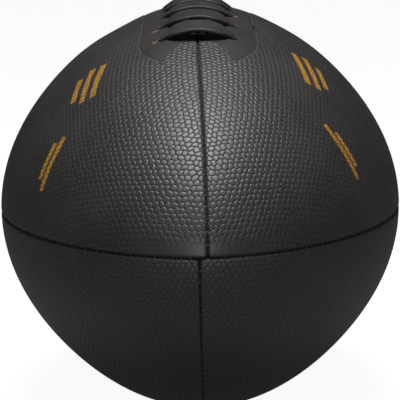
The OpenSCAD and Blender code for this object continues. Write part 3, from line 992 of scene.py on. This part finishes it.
def hexSheet(seed):
    # Flat hexagons: a grid of triangles with every corner cut back by a third
    edge = pebble["size"] * math.sqrt(3)
    rowStep = edge * math.sqrt(3) / 2
    columns = int(2 * (halfArc + sheet["pastTip"]) / edge)
    rows = int(2 * sheet["halfWidth"] / rowStep)
    cos, sin = math.cos(math.radians(pebble["lean"])), math.sin(math.radians(pebble["lean"]))
    bm = bmesh.new()
    bmesh.ops.create_grid(bm, x_segments=columns, y_segments=rows, size=halfGrid)
    for vert in bm.verts:
        row = round((vert.co.y + halfGrid) * rows)
        column = (vert.co.x + halfGrid) * columns + (row % 2) / 2
        along = (column - columns / 2) * edge
        across = (rows / 2 - row) * rowStep
        vert.co = (across * cos - along * sin, along * cos + across * sin, 0)
    bmesh.ops.triangulate(bm, faces=bm.faces, quad_method="SHORT_EDGE")
    across, along, _ = coordinates(bm).T
    spot, _ = skin(*overBall(across, along))
    outside = (spot[:, 0] < -sheet["keepPastSeam"]) | (spot[:, 2] < -sheet["keepPastSeam"])
    outside = outside | (np.abs(across) > sheet["keepAcross"])
    outside = outside | (np.abs(along) > halfArc + sheet["keepPastTip"])
    gone = [vert for vert, out in zip(bm.verts, outside) if out]
    bmesh.ops.delete(bm, geom=gone, context="VERTS")
    bmesh.ops.bevel(
        bm, geom=bm.verts[:], offset=edge / 3, offset_type="OFFSET", affect="VERTICES",
        segments=1, profile=0.5, material=-1, clamp_overlap=False,
    )
    chance = random.Random(seed)
    reach = pebble["jitter"] * pebble["size"] / 2
    for vert in bm.verts:
        vert.co.x += chance.uniform(-reach, reach)
        vert.co.y += chance.uniform(-reach, reach)
    return bm


def only(items, kind):
    return [item for item in items if isinstance(item, kind)]


def gapTo(centre, x, y):
    return np.hypot(x - centre.x, y - centre.y)


def cut(bm, place, normal, away, faces=None):
    # Cuts along a plane, and gives the edges that this makes
    picked = bm.faces[:] if faces is None else faces
    geom = set(picked)
    for face in picked:
        geom.update(face.edges)
        geom.update(face.verts)
    made = bmesh.ops.bisect_plane(
        bm, geom=list(geom), dist=merge["cuts"], plane_co=place, plane_no=normal, clear_inner=away
    )["geom_cut"]
    return only(made, bmesh.types.BMEdge)


def markedCut(bm, place, side, faces):
    for edge in cut(bm, place, side, False, faces):
        edge.seam = True


def dropExtra(bm, gapOf, most):
    # What the marked cuts added further off than this goes again
    made = [edge for edge in bm.edges if edge.seam]
    middles = np.array([((edge.verts[0].co + edge.verts[1].co) / 2)[:] for edge in made])
    extra = [edge for edge, gap in zip(made, gapOf(middles[:, 0], middles[:, 1])) if gap > most]
    for edge in made:
        edge.seam = False
    bmesh.ops.dissolve_edges(bm, edges=extra, use_verts=True, use_face_split=False)


def clearLine(bm, outline):
    # No corner of a pebble lies close beside the facing's line
    places = coordinates(bm)
    x, y = places[:, 0], places[:, 1]
    step = groove["probe"]
    gap = polygonDistance(x, y, outline)
    aside = polygonDistance(x + step, y, outline) - gap
    ahead = polygonDistance(x, y + step, outline) - gap
    slope = np.stack([aside, ahead], 1)
    slope = slope / np.linalg.norm(slope, axis=1)[:, None]
    inner, outer = groove["clear"]
    move = np.where((gap > 0) & (gap < inner), inner - gap, 0)
    move = move - np.where((gap <= 0) & (gap > -outer), outer + gap, 0)
    places[:, :2] += slope * move[:, None]
    setCoordinates(bm, places)


def scoreLine(bm, outline):
    # The line is cut through the sheet, stretch by stretch
    for (x1, y1), (x2, y2) in zip(outline, outline[1:]):
        one = Vector((x1, y1, 0))
        way = Vector((x2 - x1, y2 - y1, 0))
        length = way.length
        way.normalize()
        side = Vector((way.y, -way.x, 0))
        near = []
        for face in bm.faces:
            gone = face.calc_center_median() - one
            past = min(max(gone.dot(way), 0), length)
            if (gone - way * past).length < groove["reach"]:
                near.append(face)
        markedCut(bm, one, side, near)
    dropExtra(bm, lambda x, y: np.abs(polygonDistance(x, y, outline)), groove["offLine"])


def joinBits(bm, outline):
    # A thin rest of a pebble beside the line joins its neighbour
    places = coordinates(bm)
    gap = polygonDistance(places[:, 0], places[:, 1], outline)
    onLine = {vert for vert, off in zip(bm.verts, gap) if abs(off) < groove["onLine"]}
    outside = {vert for vert, off in zip(bm.verts, gap) if off < -groove["onLine"]}
    small = pebble["size"] ** 2 * math.sqrt(3) / 2 * pebble["smallest"]
    joined = set()
    for face in bm.faces:
        atLine = any(vert in onLine for vert in face.verts) and any(vert in outside for vert in face.verts)
        if face.calc_area() > small or not atLine:
            continue
        shared = [
            edge for edge in face.edges
            if not edge.is_boundary and not (edge.verts[0] in onLine and edge.verts[1] in onLine)
        ]
        if shared:
            joined.add(max(shared, key=lambda edge: edge.calc_length()))
    bmesh.ops.dissolve_edges(bm, edges=list(joined), use_verts=False, use_face_split=False)


def ringCut(bm, centre, radius, reach):
    # Cuts a ring of straight sides round a hole's middle and gives the faces inside it
    sides = []
    for step in range(hole["sides"]):
        turn = 2 * math.pi * step / hole["sides"]
        side = Vector((math.cos(turn), math.sin(turn), 0))
        near = [face for face in bm.faces if (face.calc_center_median() - centre).length < radius + reach]
        markedCut(bm, centre + side * radius, side, near)
        sides.append(side)
    return [
        face for face in bm.faces
        if (face.calc_center_median() - centre).length < radius * hole["inRing"]
        and all((face.calc_center_median() - centre).dot(side) < radius for side in sides)
    ]


def cutHoles(bm, holes, radius):
    rim = radius + hole["rim"]
    for centre in holes:
        ringCut(bm, centre, rim, hole["reach"])
        bmesh.ops.delete(bm, geom=ringCut(bm, centre, radius, hole["reach"]), context="FACES")
        dropExtra(bm, lambda x, y: gapTo(centre, x, y), rim * hole["ringSlack"])


def roomIn(face):
    # From the middle of a flat face to its nearest side
    middle = face.calc_center_median()
    rooms = []
    for loop in face.loops:
        corner = loop.vert.co
        way = loop.link_loop_next.vert.co - corner
        if way.length > 0:
            rooms.append((way.x * (middle.y - corner.y) - way.y * (middle.x - corner.x)) / way.length)
    return min(rooms)


def sortFaces(bm, inside):
    # The faces that stay flat, the whole pebbles, and the cut ones with the share of room they have
    flatFaces = set(inside)
    whole, bits = [], []
    for face in bm.faces:
        if face in flatFaces:
            continue
        room = roomIn(face)
        if room > pebble["room"]:
            whole.append(face)
        elif face.calc_area() > pebble["least"]:
            bits.append((face, max(room / pebble["room"], pebble["leastShare"])))
        else:
            flatFaces.add(face)
    return flatFaces, whole, bits


def roundOff(bm, faces, share, high):
    # A pebble's rim, and then its crown
    for width, height in (pebble["rim"], pebble["crown"]):
        bmesh.ops.inset_individual(
            bm, faces=faces, thickness=width * share, depth=height * high, use_even_offset=True
        )


def shapeSheet(bm, outline, holes, radius):
    # The facing's line, the holes and the raised pebbles, while the leather is still flat; valleys, the
    # line and the hole rims get painted shade
    if outline is not None:
        clearLine(bm, outline)
        scoreLine(bm, outline)
        joinBits(bm, outline)
    cutHoles(bm, holes, radius)
    x, y, _ = np.array([face.calc_center_median()[:] for face in bm.faces]).T
    smooth = polygonDistance(x, y, outline) > 0 if outline is not None else np.zeros(len(x), bool)
    for centre in holes:
        smooth = smooth | (gapTo(centre, x, y) < radius + hole["smooth"])
    inside = [face for face, plain in zip(bm.faces, smooth) if plain]
    flatFaces, whole, bits = sortFaces(bm, inside)
    if outline is not None:
        for width, height in groove["strips"]:
            flatFaces.update(bmesh.ops.inset_region(
                bm, faces=inside, thickness=width, depth=height, use_even_offset=True, use_boundary=False
            )["faces"])
    roundOff(bm, whole, 1, 1)
    for face, size in bits:
        # a cut pebble is rounded off as far as its own width lets it
        roundOff(bm, [face], size * pebble["cutShare"], max(size, pebble["cutHeight"]))
    places = coordinates(bm)
    # painted shade, full at the bottom of a valley between pebbles and none on flat faces
    paintedShade = np.clip(1 - places[:, 2] / pebble["rim"][1], 0, 1)
    plain = np.array([all(face in flatFaces for face in vert.link_faces) for vert in bm.verts])
    paintedShade = np.where(plain, 0, paintedShade)
    # painted shade along the facing's line and the narrow strip inside it
    if outline is not None:
        gap = polygonDistance(places[:, 0], places[:, 1], outline)
        onLine = np.abs(gap) < groove["onLine"]
        paintedShade = np.where(onLine, groove["dark"], paintedShade)
        places[:, 2] = np.where(onLine, -groove["depth"], places[:, 2])
        inner = plain & (gap > groove["strips"][0][0] + groove["onLine"])
        places[:, 2] = np.where(inner, groove["raise"], places[:, 2])
        paintedShade = np.where(plain & (gap > groove["onLine"]) & ~inner, 1, paintedShade)
    # round a hole the rim drops and gets painted shade
    for centre in holes:
        atRim = gapTo(centre, places[:, 0], places[:, 1]) < radius + hole["rimEdge"]
        places[:, 2] = np.where(atRim, places[:, 2] - hole["rimDrop"], places[:, 2])
        paintedShade = np.where(atRim, hole["rimPaintedShade"], paintedShade)
    setCoordinates(bm, places)
    layer = bm.verts.layers.float.new("paintedShade")
    for vert, value in zip(bm.verts, paintedShade):
        vert[layer] = value
    uv = bm.loops.layers.uv.new("flat")
    for face in bm.faces:
        for loop in face.loops:
            loop[uv].uv = (loop.vert.co.x * millimetre, loop.vert.co.y * millimetre)


def reliefShare(spot, upper):
    # Pebbles fade into a smooth strip beside the side seams near a tip
    if not upper:
        return np.full(len(spot), pebble["lowerShare"])
    fromSeam = smoothShare(spot[:, 2], *pebble["smoothStrip"])
    fromTip = smoothShare(np.hypot(spot[:, 0], spot[:, 2]), *pebble["smoothReach"])
    strip = 1 - (1 - fromSeam) * (1 - fromTip)
    return np.where(np.abs(spot[:, 1]) > pebble["smoothFrom"], strip, 1)


def wrap(bm, upper):
    layer = bm.verts.layers.float["paintedShade"]
    across, along, height = coordinates(bm).T
    spot, normal = skin(*overBall(across, along))
    share = reliefShare(spot, upper)
    setCoordinates(bm, spot + normal * (height * share)[:, None])
    # the painted shade fades with the pebbles' relief
    if upper:
        for vert, part in zip(bm.verts, share):
            vert[layer] *= part


def trim(bm):
    # Cut to size, with the cuts along which its edges will roll over
    last = rollStart - rollQuarter - seam["foldIn"]
    for normal in ((1, 0, 0), (0, 0, 1)):
        side = Vector(normal)
        cut(bm, side * last, side, True)
        for share in seam["rollCuts"]:
            cut(bm, side * (rollStart - rollQuarter * share), side, False)
    corner = Vector((1, 0, 1))
    cut(bm, corner * seam["corner"], corner, True)


def press(bm):
    # The leather is drawn down under the laces
    x, y, z = coordinates(bm).T
    front = 1 - smoothShare(np.abs(y), *under["from"])
    share = np.clip(np.abs(x) / under["halfWidth"], 0, 1)
    drop = under["depth"] * front * (1 + np.cos(math.pi * share)) / 2
    drop = np.where(z > under["above"], drop, 0)
    ny, nz = seamNormal(y)
    setCoordinates(bm, np.stack([x, y - ny * drop, z - nz * drop], 1))


def rollEdges(bm):
    # The edges turn over into the ball, pinched in by each stitch, and darken with painted shade as they
    # turn
    layer = bm.verts.layers.float["paintedShade"]
    places = coordinates(bm)
    dark = np.zeros(len(places))
    sides = ((0, 2, seam["pitchTop"], seam["paintedShadeLess"]), (2, 0, seam["pitchSide"], 0))
    for side, other, pitch, less in sides:
        past = np.maximum(rollStart - places[:, side], 0)
        y = places[:, 1].copy()
        ny, nOut = seamNormal(y)
        turn = np.minimum(past / seam["roll"], math.pi / 2)
        drop = seam["roll"] * (1 - np.cos(turn)) + np.maximum(past - rollQuarter, 0)
        phase = np.interp(y, seamY, seamArc) / pitch
        pull = (0.5 + 0.5 * np.cos(2 * math.pi * phase)) ** seam["pinchPower"]
        far = np.maximum(places[:, side] - seam["pinchFlat"], 0)
        near = np.clip(1 - far / seam["pinchReach"], 0, 1) ** 2
        drop = drop + seam["pinch"] * pull * near
        rolled = rollStart - seam["roll"] * np.sin(turn)
        places[:, side] = np.where(past > 0, rolled, places[:, side])
        places[:, 1] -= ny * drop
        places[:, other] -= nOut * drop
        # painted shade grows as an edge turns into the seam
        dark = np.maximum(dark, seam["dark"] * turn - less)
    setCoordinates(bm, places)
    for vert, value in zip(bm.verts, dark):
        vert[layer] = max(vert[layer], min(value, 1))


def cleanRim(bm):
    # One whole sheet, whose open edges never meet in a point
    while True:
        pinched = [vert for vert in bm.verts if sum(edge.is_boundary for edge in vert.link_edges) > 2]
        if not pinched:
            break
        bmesh.ops.delete(bm, geom=pinched, context="VERTS")
    left = set(bm.faces)
    largest = set()
    while left:
        island = set()
        todo = [left.pop()]
        while todo:
            face = todo.pop()
            island.add(face)
            for edge in face.edges:
                for other in edge.link_faces:
                    if other in left:
                        left.discard(other)
                        todo.append(other)
        largest = max(largest, island, key=len)
    loose = [face for face in bm.faces if face not in largest]
    bmesh.ops.delete(bm, geom=loose, context="FACES")


def rimLoops(bm):
    # The open edges, loop by loop, the longest first
    left = {edge for edge in bm.edges if edge.is_boundary}
    loops = []
    for first in bm.edges:
        if first not in left:
            continue
        left.discard(first)
        loop = [first]
        vert = first.verts[1]
        while True:
            following = [edge for edge in vert.link_edges if edge in left]
            if not following:
                break
            left.discard(following[0])
            loop.append(following[0])
            vert = following[0].other_vert(vert)
        loops.append(loop)
    return sorted(loops, key=len, reverse=True)


def loopsAt(bm, place):
    picked = []
    for loop in rimLoops(bm)[1:]:
        middle = sum((edge.verts[0].co for edge in loop), Vector()) / len(loop)
        if (middle - place).length < hole["near"]:
            picked.append(loop)
    return picked


def wallHole(bm, place, normal):
    for loop in loopsAt(bm, place):
        for drop, share in hole["walls"]:
            made = bmesh.ops.extrude_edge_only(bm, edges=loop)["geom"]
            for vert in only(made, bmesh.types.BMVert):
                out = vert.co - place
                out -= normal * out.dot(normal)
                vert.co += out * (share - 1) - normal * drop
            loop = [edge for edge in only(made, bmesh.types.BMEdge) if edge.is_boundary]


inner = {
    "columns": 22, "rows": 60,
    "width": 150.0, "pastTip": 4.0, "pastSeam": 12.0,
    "corner": 3.2,
}


def innerSheet(outer, holes, radius):
    # The inside of the leather, coarse, as deep as the leather is thick
    bm = bmesh.new()
    bmesh.ops.create_grid(bm, x_segments=inner["columns"], y_segments=inner["rows"], size=halfGrid)
    bmesh.ops.scale(bm, vec=(inner["width"], 2 * (halfArc + inner["pastTip"]), 1), verts=bm.verts)
    for centre in holes:
        bmesh.ops.delete(bm, geom=ringCut(bm, centre, radius, hole["innerReach"]), context="FACES")
    across, along, _ = coordinates(bm).T
    y, angle = overBall(across, along)
    reach = layerReach(y, ball["leather"], angle)
    setCoordinates(bm, np.stack([reach * np.sin(angle), y, reach * np.cos(angle)], 1))
    gone = [vert for vert in bm.verts if min(vert.co.x, vert.co.z) < -inner["pastSeam"]]
    bmesh.ops.delete(bm, geom=gone, context="VERTS")
    edge = seam["gap"] + ball["leather"]
    cut(bm, (edge, 0, 0), (1, 0, 0), True)
    cut(bm, (0, 0, edge), (0, 0, 1), True)
    cut(bm, (inner["corner"], 0, inner["corner"]), (1, 0, 1), True)
    cleanRim(bm)
    bmesh.ops.reverse_faces(bm, faces=bm.faces)
    mesh = bpy.data.meshes.new("inner")
    bm.to_mesh(mesh)
    bm.free()
    outer.from_mesh(mesh)
    bpy.data.meshes.remove(mesh)


def makePanel(name, across, up, seed, finish, holes, radius):
    # Made as the upper right panel is, and mirrored to its side at the end
    upper = up > 0
    bm = hexSheet(seed)
    shapeSheet(bm, facingLine if upper else None, holes, radius)
    wrap(bm, upper)
    trim(bm)
    if upper:
        press(bm)
    rollEdges(bm)
    bmesh.ops.remove_doubles(bm, verts=bm.verts, dist=merge["cuts"])
    bmesh.ops.dissolve_degenerate(bm, edges=bm.edges, dist=merge["sliver"])
    cleanRim(bm)
    spots = []
    for centre in holes:
        place, normal = skin(*overBall(np.array([centre.x]), np.array([centre.y])))
        spots.append(Vector(place[0]))
        wallHole(bm, spots[-1], Vector(normal[0]))
    innerSheet(bm, holes, radius)
    for place in spots:
        pair = loopsAt(bm, place)
        bmesh.ops.bridge_loops(bm, edges=[edge for loop in pair for edge in loop])
    rims = rimLoops(bm)
    bmesh.ops.bridge_loops(bm, edges=[edge for loop in rims[:2] for edge in loop])
    bmesh.ops.holes_fill(bm, edges=[edge for loop in rims[2:] for edge in loop], sides=sheet["gapSides"])
    bmesh.ops.recalc_face_normals(bm, faces=bm.faces)
    openEdges = sum(1 for edge in bm.edges if not edge.is_manifold)
    places = coordinates(bm)
    places[:, 0] *= across
    places[:, 2] *= up
    places = slide(places)
    setCoordinates(bm, settle(places) if upper else places)
    if across * up < 0:
        bmesh.ops.reverse_faces(bm, faces=bm.faces)
    print(name, "faces", len(bm.faces), "open edges", openEdges)
    finished(name + "_leather", bm, "panel_leather", finish, name)


holePlan = [(lace["holeX"], barY(index)) for index in range(lace["bars"])]
laceHoles = [Vector((*spot, 0)) for spot in toFlat(holePlan)]
valveHole = [Vector((0, 0, 0))]
facingHalf = groove["outline"]
facingLine = toFlat([(x, -y) for x, y in facingHalf] + facingHalf[-2::-1])
panels = {
    "panel_upper_left": (-1, 1, 11, "panelLeft", laceHoles, hole["lace"]),
    "panel_upper_right": (1, 1, 12, "panelRight", laceHoles, hole["lace"]),
    "panel_lower_left": (-1, -1, 13, "panelPlain", valveHole, hole["valve"]),
    "panel_lower_right": (1, -1, 14, "panelPlain", [], 0),
}
for panelName, values in panels.items():
    makePanel(panelName, *values)
print("panels made")

# Floor and the pieces that stay as they are, with their finishes


def makeFloor():
    bm = bmesh.new()
    bmesh.ops.create_grid(bm, x_segments=2, y_segments=2, size=studio["floorSize"] / 2)
    newObject("floor", bm, "floor")


makeFloor()
kept = {
    "lining": ("lining_upper_left", "lining_upper_right", "lining_lower_left", "lining_lower_right"),
    "facing": ("lace_facing_left", "lace_facing_right", "lace_tongue"),
    "bladder": ("bladder",),
    "valve": ("valve_body",),
    "core": ("valve_core",),
}
for finishName, nodeNames in kept.items():
    for nodeName in nodeNames:
        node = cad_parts[nodeName]
        node.data.materials.clear()
        node.data.materials.append(finishes[finishName])
print("floor laid and inner pieces finished")
